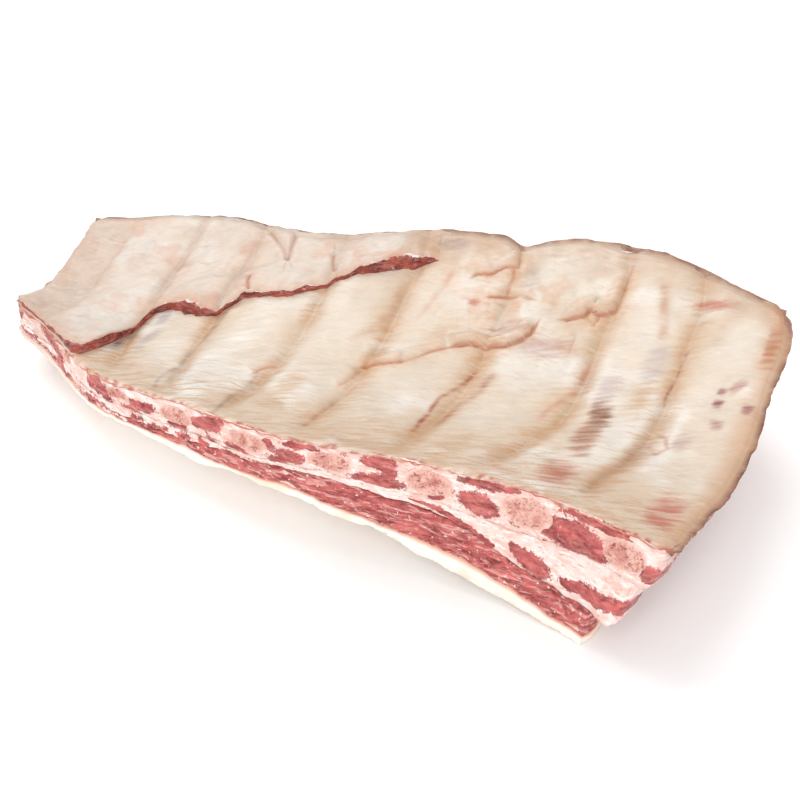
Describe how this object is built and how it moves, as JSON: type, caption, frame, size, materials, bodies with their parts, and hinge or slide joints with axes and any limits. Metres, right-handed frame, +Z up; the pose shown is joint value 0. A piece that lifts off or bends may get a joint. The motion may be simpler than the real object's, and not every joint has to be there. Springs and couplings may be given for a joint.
{
  "type": "rack of ribs",
  "caption": "Raw rack of beef ribs lying bone side up: a dished slab with cut rib ends, meat and fat layers and a flap of skirt.",
  "frame": {"origin": "middle of the footprint of the whole rack, on the surface it lies on", "axes": "+X along the cut row of rib ends towards the thick end, +Y along the ribs away from that cut, +Z up from the fat side to the bone side"},
  "size_m": [0.4846, 0.261, 0.0925],
  "materials": {
    "fat": "moist cream-white fat",
    "muscle": "moist dark red muscle with white marbling",
    "seam_fat": "moist pinkish white fat",
    "rib_meat": "ragged dark red meat with fat seams",
    "membrane": "satin cream membrane",
    "flap": "satin pinkish cream sheet of skirt",
    "bone": "sawn spongy bone"
  },
  "bodies": {
    "root": {"fat_cap": "fat", "plate_muscle": "muscle", "seam_fat": "seam_fat", "rib_meat": "rib_meat", "inner_lining": "membrane", "skirt_flap": "flap", "rib_1": "bone", "rib_2": "bone", "rib_3": "bone", "rib_4": "bone", "rib_5": "bone", "rib_6": "bone", "rib_7": "bone", "rib_8": "bone"}
  },
  "joints": []
}
